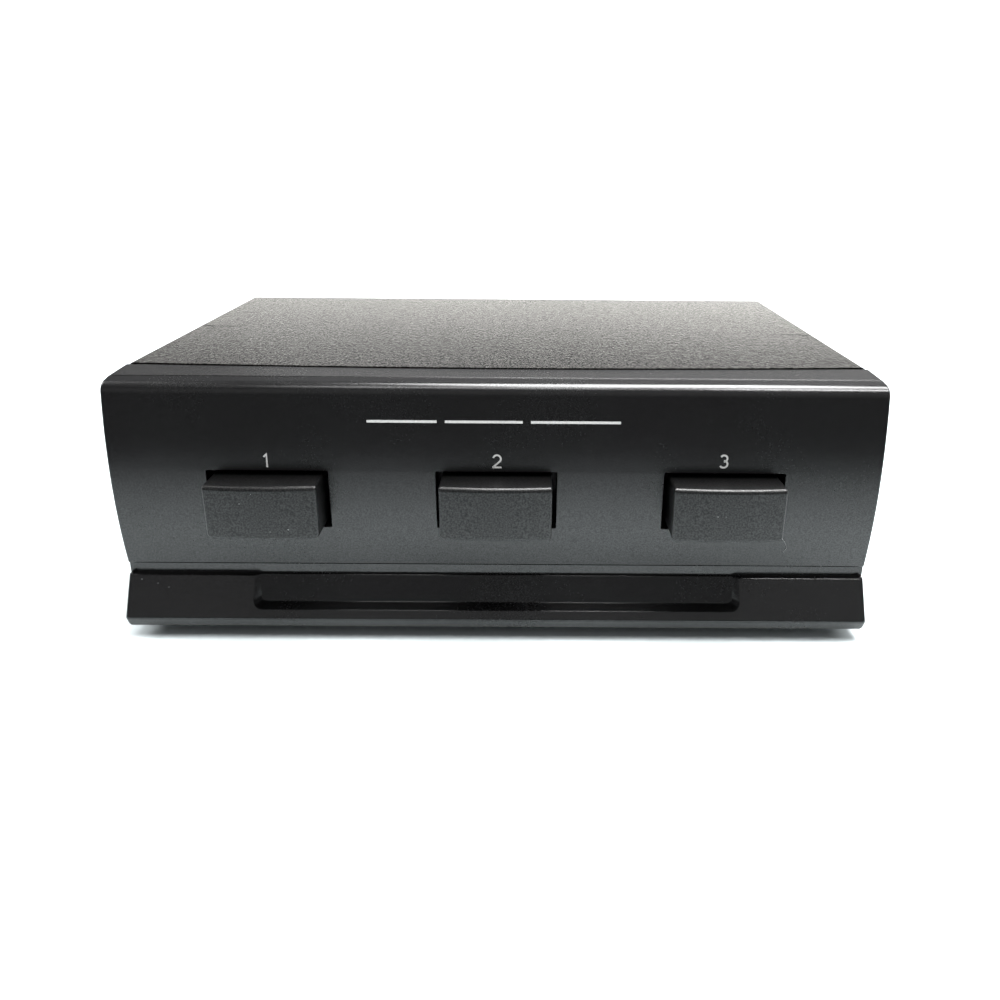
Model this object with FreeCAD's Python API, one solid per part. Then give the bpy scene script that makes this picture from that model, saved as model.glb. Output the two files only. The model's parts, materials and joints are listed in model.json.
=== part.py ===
import FreeCAD, Part
import math
import os

# Three-way stereo speaker selector switch.
# Case frame used while modelling: X to the right, Y to the back, Z up, millimetres,
# y = 0 at the front edge of the top cover, z = 0 on the surface the feet stand on.
# Every solid is shifted along Y at export, so that the origin is the bottom centre of the bounding box.

V = FreeCAD.Vector
os.makedirs("parts", exist_ok=True)

# ---------------------------------------------------------------- driving dimensions
# bezel
BEZEL_HW = 82.65         # half width
BEZEL_REAR_Y = -1.25     # rear rim at its ends
RIM_BOW = 1.85           # the rear rim stands forward this much in the middle
TOP_REAR_Z = 58.35       # top strip at the rear rim
CREASE = [(-9.9, 57.97), (-10.03, 57.76), (-10.6, 57.93)]   # fine groove between the top strip and the rounded front
TOP_FRONT_Z = 57.3       # where the rounded front would meet the face if it were sharp
ARC_CY, ARC_CZ, ARC_R = 81.73, 35.95, 98.885   # barrel face, axis along X
EDGE_R = 2.8             # rounded edge between top and face
FACE_BOTTOM_Z = 16.3     # lower edge of the barrel face
BAND_Y = -14.3           # set-back band under the face
PLINTH_RIM_Z = 14.17     # top of the plinth at its two ends
GROOVE_Z = 13.8          # top of the plinth between the end rims
GROOVE_HW = 81.7
PLINTH_TOP_Y = -15.67
PLINTH_TOE = (-20.95, 5.4)     # lowest front corner of the flared plinth
PLINTH_FOOT = (-19.75, 3.05)     # lower end of the toe chamfer
WALL = 2.3
# push buttons and their holes
PITCH = 48.93            # between button centres
HOLE_W, HOLE_H = 26.0, 13.2
HOLE_Z = 32.57
BTN_W, BTN_H = 23.6, 11.6
BTN_Z = 32.25
BTN_FRONT_Y = -24.15     # front face at its ends
BTN_CROWN = 0.72         # bulge of the front face in the middle
BTN_REAR_Y = -9.6
TRAVEL = 5.0
# recess in the plinth: outline on the face, outline on its floor, depth at the top and at the bottom
REC_HW_OUT, REC_HW_IN = 54.4, 53.0
REC_LOW_OUT, REC_LOW_IN = 8.02, 5.95
REC_D_TOP, REC_D_LOW = 0.7, 1.8
# cover
COVER_HW = 82.25
COVER_T = 0.8
COVER_TOP_Z = 58.5
COVER_LEN = 98.2
COVER_BOTTOM_Z = 4.2
COVER_BOW = 2.9          # the front edge stands forward this much in the middle
# chassis
SHEET = 1.0
FLOOR_Z = 5.0
FLANGE_Y = -4.0          # front face of the front flange
PANEL_Y = 97.35          # outer face of the rear panel
FOOT_R = 7.0
# board and switches
BOARD_Z0, BOARD_Z1 = 25.0, 26.6
SW_HW, SW_Y0, SW_Y1 = 8.0, -2.4, 27.6
SW_Z0, SW_Z1 = 26.6, 38.6
# terminal blocks
TB_PITCH = 9.6
TB_X = 33.0
TB_Z_LOW, TB_Z_HIGH = 20.5, 42.5
WIN_HW = 3.7
LEVER_HW = 3.5
PIV_V, PIV_W = -5.0, 2.5     # lever pivot, from the panel's outer face and the block's centre
TRUNNION_R, BORE_R = 0.90, 0.95
LEVER_TIP_V = 8.0

Y_FRONT = BTN_FRONT_Y - BTN_CROWN
Y_REAR = PANEL_Y + LEVER_TIP_V
Y_SHIFT = -(Y_FRONT + Y_REAR) / 2.0


# ---------------------------------------------------------------- helpers
def box(x0, x1, y0, y1, z0, z1):
    return Part.makeBox(x1 - x0, y1 - y0, z1 - z0, V(x0, y0, z0))


def cyl(p, d, r, h):
    return Part.makeCylinder(r, h, V(*p), V(*d))


def prism_x(points, x0, x1):
    """Closed (y, z) polygon extruded along X."""
    pts = [V(x0, y, z) for y, z in points]
    wire = Part.makePolygon(pts + [pts[0]])
    return Part.Face(wire).extrude(V(x1 - x0, 0, 0))


def prism_edges_x(edges, x0, x1):
    wire = Part.Wire(edges)
    return Part.Face(wire).extrude(V(x1 - x0, 0, 0))


def fuse(shapes):
    s = shapes[0]
    if len(shapes) > 1:
        s = s.fuse(shapes[1:])
    return s.removeSplitter()


def one(shape):
    """The single solid of a shape."""
    if shape.ShapeType == "Solid":
        return shape
    solids = shape.Solids
    if len(solids) != 1:
        print("   !! expected one solid, got", len(solids), [round(s.Volume, 3) for s in solids])
    return solids[0] if len(solids) == 1 else Part.makeCompound(solids)


def fillet(shape, r, pick, name=""):
    edges = [e for e in shape.Edges if pick(e)]
    if not edges:
        print("   !! no edge to fillet:", name)
        return shape
    try:
        s = shape.makeFillet(r, edges)
        if s.isValid() and s.Volume > 0:
            return s
        print("   !! invalid fillet:", name)
    except Exception as ex:
        print("   !! fillet failed:", name, ex)
    done = shape
    return done


def is_line(e):
    try:
        return e.Curve.TypeId == "Part::GeomLine"
    except TypeError:
        return False


def along(e, axis, tol=1e-3):
    if not is_line(e):
        return False
    d = e.Curve.Direction
    return abs(abs((d.x, d.y, d.z)["xyz".index(axis)]) - 1) < tol


def mid(e):
    a, b = e.ParameterRange
    return e.valueAt((a + b) / 2.0)


def near(a, b, tol=0.05):
    return abs(a - b) < tol


OUT = {}


def put(name, shape):
    OUT[name] = shape


def face_y(z):
    return ARC_CY - math.sqrt(ARC_R ** 2 - (z - ARC_CZ) ** 2)


# ---------------------------------------------------------------- front bezel
def bezel():
    corner = (face_y(TOP_FRONT_Z), TOP_FRONT_Z)
    x = -BEZEL_HW
    PLINTH_TOP_Z = PLINTH_RIM_Z

    def P(y, z):
        return V(x, y, z)

    face_mid_z = (corner[1] + FACE_BOTTOM_Z) / 2
    fb = (face_y(FACE_BOTTOM_Z), FACE_BOTTOM_Z)
    edges = [
        Part.LineSegment(P(BEZEL_REAR_Y, TOP_REAR_Z), P(*CREASE[0])).toShape(),
        Part.LineSegment(P(*CREASE[0]), P(*CREASE[1])).toShape(),
        Part.LineSegment(P(*CREASE[1]), P(*CREASE[2])).toShape(),
        Part.LineSegment(P(*CREASE[2]), P(*corner)).toShape(),
        Part.Arc(P(*corner), P(face_y(face_mid_z), face_mid_z), P(*fb)).toShape(),
        Part.LineSegment(P(*fb), P(BAND_Y, FACE_BOTTOM_Z - 0.12)).toShape(),
        Part.LineSegment(P(BAND_Y, FACE_BOTTOM_Z - 0.12), P(BAND_Y, PLINTH_TOP_Z)).toShape(),
        Part.LineSegment(P(BAND_Y, PLINTH_TOP_Z), P(PLINTH_TOP_Y, PLINTH_TOP_Z - 0.05)).toShape(),
        Part.LineSegment(P(PLINTH_TOP_Y, PLINTH_TOP_Z - 0.05), P(*PLINTH_TOE)).toShape(),
        Part.LineSegment(P(*PLINTH_TOE), P(*PLINTH_FOOT)).toShape(),
        Part.LineSegment(P(*PLINTH_FOOT), P(BEZEL_REAR_Y, PLINTH_FOOT[1])).toShape(),
        Part.LineSegment(P(BEZEL_REAR_Y, PLINTH_FOOT[1]), P(BEZEL_REAR_Y, TOP_REAR_Z)).toShape(),
    ]
    s = prism_edges_x(edges, x, BEZEL_HW)
    # rounded long edges
    s = fillet(s, EDGE_R, lambda e: along(e, "x") and near(mid(e).y, corner[0]) and near(mid(e).z, corner[1]), "top edge")
    s = fillet(s, 0.7, lambda e: along(e, "x") and near(mid(e).y, PLINTH_TOE[0]) and near(mid(e).z, PLINTH_TOE[1]), "toe")
    s = fillet(s, 0.45, lambda e: along(e, "x") and near(mid(e).y, PLINTH_TOP_Y) and near(mid(e).z, PLINTH_TOP_Z - 0.05), "plinth edge")
    s = fillet(s, 0.6, lambda e: along(e, "x") and near(mid(e).y, fb[0]) and near(mid(e).z, fb[1]), "face lower edge")
    s = fillet(s, 0.4, lambda e: along(e, "x") and near(mid(e).y, PLINTH_FOOT[0]) and near(mid(e).z, PLINTH_FOOT[1]), "foot edge")

    # rounded ends: the upper part, then the plinth
    def end_upper(e):
        m = mid(e)
        return near(abs(m.x), BEZEL_HW) and not along(e, "x") and m.z > FACE_BOTTOM_Z + 0.3 and m.y > -30 and not near(m.y, BEZEL_REAR_Y)

    def end_lower(e):
        m = mid(e)
        return near(abs(m.x), BEZEL_HW) and not along(e, "x") and m.y < PLINTH_TOP_Y + 0.02 and m.z < PLINTH_TOP_Z - 0.2

    s = fillet(s, 0.5, end_upper, "upper ends")
    s = fillet(s, 0.8, end_lower, "plinth ends")

    # the plinth's top is a little lower between its two end rims
    s = s.cut(box(-GROOVE_HW, GROOVE_HW, -30, BAND_Y, GROOVE_Z, PLINTH_TOP_Z + 0.5).common(box(-90, 90, -30, BAND_Y, 0, PLINTH_TOP_Z + 0.5)))
    s = fillet(s, 0.4, lambda e: along(e, "x") and near(mid(e).z, GROOVE_Z, 0.01) and mid(e).y < BAND_Y - 0.5, "groove front edge")
    # bevelled lower corners
    for sx in (-1, 1):
        q = [V(sx * 81.05, -40, 2.4), V(sx * 83.5, -40, 2.4), V(sx * 83.5, -40, 4.85)]
        s = s.cut(Part.Face(Part.makePolygon(q + [q[0]])).extrude(V(0, 60, 0)))
    # bowed rear rim
    a, m_, b = V(-BEZEL_HW - 1, BEZEL_REAR_Y + 0.03, 0), V(0, BEZEL_REAR_Y - RIM_BOW, 0), V(BEZEL_HW + 1, BEZEL_REAR_Y + 0.03, 0)
    w = Part.Wire([
        Part.Arc(a, m_, b).toShape(),
        Part.LineSegment(b, V(BEZEL_HW + 1, 6, 0)).toShape(),
        Part.LineSegment(V(BEZEL_HW + 1, 6, 0), V(-BEZEL_HW - 1, 6, 0)).toShape(),
        Part.LineSegment(V(-BEZEL_HW - 1, 6, 0), a).toShape(),
    ])
    s = s.cut(Part.Face(w).extrude(V(0, 0, 70)))

    skin = s.copy()

    # hollow
    r_in = ARC_R - WALL

    def yin(z):
        return ARC_CY - math.sqrt(r_in ** 2 - (z - ARC_CZ) ** 2)

    z_top = 55.9
    inner = [(5.0, z_top), (-10.6, z_top)]
    za, zb = 53.7, 17.2
    inner += [(yin(za + (zb - za) * i / 24.0), za + (zb - za) * i / 24.0) for i in range(25)]
    inner += [(-11.2, 16.0), (-11.2, 12.4), (-12.6, 12.2), (-17.0, 5.3), (-16.8, 4.9), (5.0, 4.9)]
    s = s.cut(prism_x(inner, -BEZEL_HW + 2.4, BEZEL_HW - 2.4))

    # rim that reaches back under the cover, dark line in the gap
    rim = [
        box(-79.2, 79.2, -6.0, 3.0, 54.9, 56.5),
        box(79.0, 80.6, -6.0, 2.2, 9.0, 55.6),
        box(-80.6, -79.0, -6.0, 2.2, 9.0, 55.6),
    ]
    # screw bosses and the collars behind the button holes
    bosses = []
    for sx in (-1, 1):
        for bz in (48.5, 11.3):
            bosses.append(cyl((sx * 72.0, -22.0, bz), (0, 1, 0), 3.6, 22.0 + FLANGE_Y))
    for bx in (-24.4, 24.4):
        bosses.append(cyl((bx, -22.0, 49.0), (0, 1, 0), 3.6, 22.0 + FLANGE_Y))
    bosses = [b.common(skin) for b in bosses]
    collars = [box(c - HOLE_W / 2 - 1.3, c + HOLE_W / 2 + 1.3, -15.4, -12.2, HOLE_Z - HOLE_H / 2 - 1.3, HOLE_Z + HOLE_H / 2 + 1.3)
               for c in (-PITCH, 0, PITCH)]
    s = s.fuse(rim + bosses + collars)
    cuts = []
    for c in (-PITCH, 0, PITCH):
        h = box(c - HOLE_W / 2, c + HOLE_W / 2, -30, -11, HOLE_Z - HOLE_H / 2, HOLE_Z + HOLE_H / 2)
        h = h.makeFillet(0.4, [e for e in h.Edges if along(e, "y")])
        cuts.append(h)
    for sx in (-1, 1):
        for bz in (48.5, 11.3):
            cuts.append(cyl((sx * 72.0, FLANGE_Y - 7.6, bz), (0, 1, 0), 1.45, 9.0))
    for bx in (-24.4, 24.4):
        cuts.append(cyl((bx, FLANGE_Y - 7.6, 49.0), (0, 1, 0), 1.45, 9.0))
    s = s.cut(cuts)
    s = s.removeSplitter()

    # shallow recess in the plinth, open at the top, walls at about 45 degrees
    t = V(0, PLINTH_TOE[0] - PLINTH_TOP_Y, PLINTH_TOE[1] - PLINTH_TOP_Z + 0.05)
    t.normalize()                      # down the plinth face
    n = V(0, t.z, -t.y)                # outward normal
    if n.y > 0:
        n = n * -1
    o = V(0, PLINTH_TOP_Y, PLINTH_TOP_Z - 0.05)

    def rec_curve(hw, s_top, s_low, r, k_):
        """Outline with round lower corners, in one tilted plane: k_ times the recess depth under the plinth face."""
        def Q(x, s_):
            d = k_ * (REC_D_TOP + (REC_D_LOW - REC_D_TOP) * s_ / s_low)
            return o + V(x, 0, 0) + t * s_ - n * d
        a = r * (1 - math.sqrt(0.5))
        e = [
            Part.LineSegment(Q(-hw, s_top), Q(-hw, s_low - r)).toShape(),
            Part.Arc(Q(-hw, s_low - r), Q(-hw + a, s_low - a), Q(-hw + r, s_low)).toShape(),
            Part.LineSegment(Q(-hw + r, s_low), Q(hw - r, s_low)).toShape(),
            Part.Arc(Q(hw - r, s_low), Q(hw - a, s_low - a), Q(hw, s_low - r)).toShape(),
            Part.LineSegment(Q(hw, s_low - r), Q(hw, s_top)).toShape(),
            Part.LineSegment(Q(hw, s_top), Q(-hw, s_top)).toShape(),
        ]
        return Part.Wire(e)

    f = 0.35                                   # the tool starts this far outside the face, on the same taper
    outer = rec_curve(REC_HW_OUT + (REC_HW_OUT - REC_HW_IN) * f, -2.2, REC_LOW_OUT + (REC_LOW_OUT - REC_LOW_IN) * f, 2.2 + 0.9 * f, -f)
    inner_w = rec_curve(REC_HW_IN, -2.2, REC_LOW_IN, 1.3, 1.0)
    tool = Part.makeLoft([outer, inner_w], True, True)
    rim_pts = [mid(e) for e in inner_w.Edges[:5]]
    tool = fillet(tool, 0.25, lambda e: any((mid(e) - q).Length < 0.01 for q in rim_pts), "recess floor line")
    # only the part in front of the band may cut
    tool = tool.common(box(-60, 60, -30, BAND_Y - 0.01, 0, PLINTH_TOP_Z + 0.02))
    s = s.cut(tool)
    s = one(s.removeSplitter())

    # soften the recess outline on the face
    def outline(e):
        m = mid(e)
        if abs(m.x) > REC_HW_OUT + 0.1 or m.z > GROOVE_Z - 0.4 or m.z < 6.6 or m.y > BAND_Y - 0.5:
            return False
        return abs((m - o).dot(n)) < 0.01

    s = fillet(s, 0.25, outline, "recess outline")
    return one(s)


put("front_bezel", bezel())


# ---------------------------------------------------------------- top cover
def cover():
    outer = box(-COVER_HW, COVER_HW, -3.0, COVER_LEN, COVER_BOTTOM_Z, COVER_TOP_Z)
    outer = outer.makeFillet(0.9, [e for e in outer.Edges if near(mid(e).z, COVER_TOP_Z) and not near(mid(e).y, -3.0)])
    t = COVER_T
    inner = box(-COVER_HW + t, COVER_HW - t, -6.0, COVER_LEN - t, COVER_BOTTOM_Z - 5, COVER_TOP_Z - t)
    inner = inner.makeFillet(0.2, [e for e in inner.Edges if near(mid(e).z, COVER_TOP_Z - t) and not near(mid(e).y, -6.0)])
    s = outer.cut(inner)
    # open back below the folded lip
    s = s.cut(box(-COVER_HW + t, COVER_HW - t, COVER_LEN - 3, COVER_LEN + 3, COVER_BOTTOM_Z - 5, 52.7))
    # bowed front edge
    a, m, b = V(-COVER_HW - 1, 0.03, 0), V(0, -COVER_BOW, 0), V(COVER_HW + 1, 0.03, 0)
    w = Part.Wire([
        Part.Arc(a, m, b).toShape(),
        Part.LineSegment(b, V(COVER_HW + 1, -6, 0)).toShape(),
        Part.LineSegment(V(COVER_HW + 1, -6, 0), V(-COVER_HW - 1, -6, 0)).toShape(),
        Part.LineSegment(V(-COVER_HW - 1, -6, 0), a).toShape(),
    ])
    s = s.cut(Part.Face(w).extrude(V(0, 0, 70)))
    # screw holes
    cuts = [cyl((-COVER_HW - 1, 47.0, 36.0), (1, 0, 0), 1.6, 5), cyl((COVER_HW - 4, 47.0, 36.0), (1, 0, 0), 1.6, 5)]
    for x in (-60, 60):
        cuts.append(cyl((x, COVER_LEN - 3, 55.1), (0, 1, 0), 1.3, 5))
    return one(s.cut(cuts))


put("top_cover", cover())


# ---------------------------------------------------------------- chassis tray
BLOCKS = {  # name: (x centre, z centre)
    "amp": (-TB_X, TB_Z_HIGH),
    "output_1": (TB_X, TB_Z_HIGH),
    "output_2": (-TB_X, TB_Z_LOW),
    "output_3": (TB_X, TB_Z_LOW),
}
STANDOFFS = [(-70, 3.5), (70, 3.5), (-70, 57.0), (70, 57.0)]
FEET = [(-66, 9.0), (66, 9.0), (-66, 84.0), (66, 84.0)]


def chassis():
    z0, z1 = FLOOR_Z, FLOOR_Z + SHEET
    p = PANEL_Y
    s = [
        box(-81.2, 81.2, -1.6, p, z0, z1),
        box(-78.6, 78.6, FLANGE_Y, -1.6, z0, z1),
        box(-78.6, 78.6, FLANGE_Y, FLANGE_Y + SHEET, z0, 54.6),
        box(-81.2, 81.2, p - SHEET, p, z0, 57.2),
    ]
    for sx in (-1, 1):
        xa, xb = sorted((sx * 80.2, sx * 81.2))
        s.append(box(xa, xb, 3.0, p, z0, 15.0))
        ear = box(xa, xb, 38.0, 56.0, z0, 44.0)
        ear = ear.makeFillet(4.0, [e for e in ear.Edges if along(e, "x") and near(mid(e).z, 44.0)])
        s.append(ear)
    s = fuse(s)
    cuts = []
    for c in (-PITCH, 0, PITCH):
        cuts.append(box(c - 4.5, c + 4.5, FLANGE_Y - 1, FLANGE_Y + 2, 28.1, 37.1))
    for sx in (-1, 1):
        for bz in (48.5, 11.3):
            cuts.append(cyl((sx * 72.0, FLANGE_Y - 1, bz), (0, 1, 0), 1.6, 3))
        cuts.append(cyl((min(sx * 79, sx * 83), 47.0, 36.0), (1, 0, 0), 1.5, 4))
        cuts.append(cyl((sx * 60, p - 2, 55.1), (0, 1, 0), 1.25, 3))
        cuts.append(cyl((sx * 24.4, FLANGE_Y - 1, 49.0), (0, 1, 0), 1.6, 3))
    for x, y in STANDOFFS:
        cuts.append(cyl((x, y, z0 - 1), (0, 0, 1), 1.9, 3))
    for x, z in BLOCKS.values():
        cuts.append(box(x - 20.4, x + 20.4, p - 3, p + 1, z - 8.1, z + 8.3))
        for e in (-23.7, 23.7):
            cuts.append(cyl((x + e, p - 3, z), (0, 1, 0), 1.45, 4))
    return one(s.cut(cuts))


put("chassis_tray", chassis())


# ---------------------------------------------------------------- feet
def feet():
    r = []
    for x, y in FEET:
        f = Part.makeCone(FOOT_R - 0.9, FOOT_R, FLOOR_Z, V(x, y, 0), V(0, 0, 1))
        f = f.makeFillet(0.6, [e for e in f.Edges if near(mid(e).z, 0, 0.01)])
        f = f.cut(cyl((x, y, -1), (0, 0, 1), 2.2, 2.4))
        r.append(f)
    return Part.makeCompound(r)


put("rubber_feet", feet())


# ---------------------------------------------------------------- screws
def screw(p, d, head_r, head_h, shank_r, shank_l, cross=True):
    """Pan head screw. p is the centre of the head's underside, d points from the shank to the head."""
    pts = [V(0, 0, -shank_l), V(shank_r * 0.45, 0, -shank_l), V(shank_r, 0, -shank_l + 0.9), V(shank_r, 0, 0), V(head_r, 0, 0), V(head_r, 0, head_h * 0.35)]
    e = [Part.LineSegment(pts[i], pts[i + 1]).toShape() for i in range(5)]
    top = V(0, 0, head_h)
    e.append(Part.Arc(pts[5], V(head_r * 0.66, 0, head_h * 0.82), top).toShape())
    e.append(Part.LineSegment(top, pts[0]).toShape())
    s = Part.Face(Part.Wire(e)).revolve(V(0, 0, 0), V(0, 0, 1), 360)
    s = s.Solids[0] if s.Solids else Part.Solid(s)
    if cross:
        a = head_r * 0.55
        w = head_r * 0.14
        c = box(-a, a, -w, w, head_h * 0.35, head_h + 1).fuse(box(-w, w, -a, a, head_h * 0.35, head_h + 1))
        s = s.cut(c)
    s = one(s)
    rot = FreeCAD.Rotation(V(0, 0, 1), V(*d))
    s.Placement = FreeCAD.Placement(V(*p), rot)
    return s


cs = [screw((sx * COVER_HW, 47.0, 36.0), (sx, 0, 0), 2.8, 1.4, 1.4, 5.0) for sx in (-1, 1)]
cs += [screw((sx * 60, COVER_LEN, 55.1), (0, 1, 0), 2.3, 1.3, 1.15, 4.5) for sx in (-1, 1)]
put("cover_screws", Part.makeCompound(cs))

bs = [screw((sx * 72.0, FLANGE_Y + SHEET, bz), (0, 1, 0), 2.8, 1.6, 1.4, 7.5) for sx in (-1, 1) for bz in (48.5, 11.3)]
bs += [screw((sx * 24.4, FLANGE_Y + SHEET, 49.0), (0, 1, 0), 2.8, 1.6, 1.4, 7.5) for sx in (-1, 1)]
put("bezel_screws", Part.makeCompound(bs))

ts = [screw((x + e, PANEL_Y + 2.0, z), (0, 1, 0), 2.6, 1.5, 1.4, 6.5) for x, z in BLOCKS.values() for e in (-23.7, 23.7)]
put("terminal_screws", Part.makeCompound(ts))


# ---------------------------------------------------------------- board on standoffs
def positions(x):
    return [x + (i - 1.5) * TB_PITCH for i in range(4)]


PAD_Y = {TB_Z_HIGH: 51.0, TB_Z_LOW: 57.0}
PIN_Y = [2.2, 6.4, 10.6, 14.8, 19.0, 23.2]
PIN_X = 5.4


def board():
    s = box(-75, 75, -1.8, 61.5, BOARD_Z0, BOARD_Z1)
    s = s.makeFillet(2.0, [e for e in s.Edges if along(e, "z")])
    cuts = [cyl((x, y, BOARD_Z0 - 1), (0, 0, 1), 1.6, 4) for x, y in STANDOFFS]
    for x, z in BLOCKS.values():
        for px in positions(x):
            cuts.append(cyl((px, PAD_Y[z], BOARD_Z0 - 1), (0, 0, 1), 0.55, 4))
    for c in (-PITCH, 0, PITCH):
        for sx in (-1, 1):
            for y in PIN_Y:
                cuts.append(cyl((c + sx * PIN_X, y, BOARD_Z0 - 1), (0, 0, 1), 0.55, 4))
    return one(s.cut(cuts))


put("switch_board", board())


def standoffs():
    r = []
    for x, y in STANDOFFS:
        c = [V(x + 3.1 * math.cos(math.radians(60 * i)), y + 3.1 * math.sin(math.radians(60 * i)), FLOOR_Z + SHEET) for i in range(6)]
        h = Part.Face(Part.makePolygon(c + [c[0]])).extrude(V(0, 0, BOARD_Z0 - FLOOR_Z - SHEET))
        h = h.fuse(cyl((x, y, FLOOR_Z + 0.1), (0, 0, 1), 1.9, SHEET))
        h = h.cut(cyl((x, y, BOARD_Z0 - 7), (0, 0, 1), 1.45, 8))
        r.append(one(h.removeSplitter()))
    return Part.makeCompound(r)


put("board_standoffs", standoffs())
put("board_screws", Part.makeCompound([screw((x, y, BOARD_Z1), (0, 0, 1), 2.8, 1.6, 1.4, 6.5) for x, y in STANDOFFS]))


# ---------------------------------------------------------------- push-push switches
SL_HW, SL_Z0, SL_Z1 = 6.4, 29.2, 36.2       # slider block
SL_Y0, SL_Y1 = -0.8, 13.2
CAV_HW, CAV_Y0, CAV_Y1, CAV_Z0, CAV_Z1 = 6.8, -1.2, 26.4, 27.8, 37.4
SHAFT = 2.3                                  # half width of the square shaft
SHAFT_FIT = 0.08                             # play on each side in the housing's front wall


def housing(c):
    s = box(c - SW_HW, c + SW_HW, SW_Y0, SW_Y1, SW_Z0, SW_Z1)
    s = s.makeFillet(0.5, [e for e in s.Edges if along(e, "y") and mid(e).z > 30])
    s = s.cut(box(c - CAV_HW, c + CAV_HW, CAV_Y0, CAV_Y1, CAV_Z0, CAV_Z1))
    s = s.cut(box(c - SHAFT - SHAFT_FIT, c + SHAFT + SHAFT_FIT, SW_Y0 - 1, CAV_Y0 + 1, BTN_Z - SHAFT - SHAFT_FIT, BTN_Z + SHAFT + SHAFT_FIT))
    s = s.cut([cyl((c + sx * PIN_X, y, SW_Z0 - 1), (0, 0, 1), 0.5, 3) for sx in (-1, 1) for y in PIN_Y])
    # seat for the latch pin's rear leg
    s = s.cut(cyl((c, 24.6, 36.0), (0, 0, 1), 0.4, 3.2))
    return one(s)


def plunger(c):
    shaft = box(c - SHAFT, c + SHAFT, -20.5, SL_Y0 + 1, BTN_Z - SHAFT, BTN_Z + SHAFT)
    shaft = shaft.makeChamfer(0.5, [e for e in shaft.Edges if near(mid(e).y, -20.5)])
    block = box(c - SL_HW, c + SL_HW, SL_Y0, SL_Y1, SL_Z0, SL_Z1)
    pin = cyl((c, SL_Y1 - 1, BTN_Z), (0, 1, 0), 1.5, 7.5)
    s = shaft.fuse([block, pin]).removeSplitter()
    # heart-shaped cam on top: two lanes round an island
    z = SL_Z1 - 1.1
    lane = [box(c - 1.9, c - 0.9, 3.0, 12.0, z, SL_Z1 + 1), box(c + 0.9, c + 1.9, 3.0, 12.0, z, SL_Z1 + 1),
            box(c - 1.9, c + 1.9, 3.0, 4.6, z, SL_Z1 + 1), box(c - 1.9, c + 1.9, 10.8, 12.0, z, SL_Z1 + 1)]
    s = s.cut(lane)
    return one(s.removeSplitter())


def latch(c):
    """Wire staple: one leg rides in the cam's left lane, the other sits in the housing roof."""
    r = 0.3
    zt = 36.85
    a, b = V(c - 1.4, 11.2, SL_Z1 - 0.7), V(c - 1.4, 11.2, zt)
    d, e = V(c, 24.6, zt), V(c, 24.6, 38.2)
    run = d - b
    s = Part.makeCylinder(r, b.z - a.z, a, V(0, 0, 1))
    s = s.fuse([Part.makeCylinder(r, run.Length, b, run), Part.makeCylinder(r, e.z - d.z, d, V(0, 0, 1)), Part.makeSphere(r, b), Part.makeSphere(r, d)])
    return one(s.removeSplitter())


def spring(c):
    y0, y1 = SL_Y1 + 0.05, CAV_Y1 - 0.05
    wire_r, rad = 0.3, 2.55
    pitch = (y1 - y0 - 2 * wire_r) / 7.0
    h = Part.makeHelix(pitch, 7 * pitch, rad)
    prof = Part.Wire(Part.makeCircle(wire_r, V(rad, 0, 0), V(0, 1, 0)))
    s = Part.Wire(h).makePipeShell([prof], True, True)
    s = s if s.ShapeType == "Solid" else Part.Solid(s)
    turn = FreeCAD.Rotation(V(0, 0, 1), V(0, 1, 0)).multiply(FreeCAD.Rotation(V(0, 0, 1), 45.0))
    s.Placement = FreeCAD.Placement(V(c, y0 + wire_r, BTN_Z), turn)
    return one(s)


def pins(c):
    r = []
    for sx in (-1, 1):
        for y in PIN_Y:
            x = c + sx * PIN_X
            p = cyl((x, y, 23.2), (0, 0, 1), 0.42, CAV_Z0 - 23.2 + 0.3)
            p = p.fuse(cyl((x, y, CAV_Z0), (0, 0, 1), 0.9, 0.8)).removeSplitter()
            r.append(one(p))
    return Part.makeCompound(r)


def clips(c):
    """Moving contact clips, riveted under the slider."""
    r = []
    for sx in (-1, 1):
        for y in (1.6, 7.6):
            x = c + sx * PIN_X
            k = box(x - 0.9, x + 0.9, y, y + 4.9, SL_Z0 - 0.3, SL_Z0)
            r.append(k)
    return Part.makeCompound(r)


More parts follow.
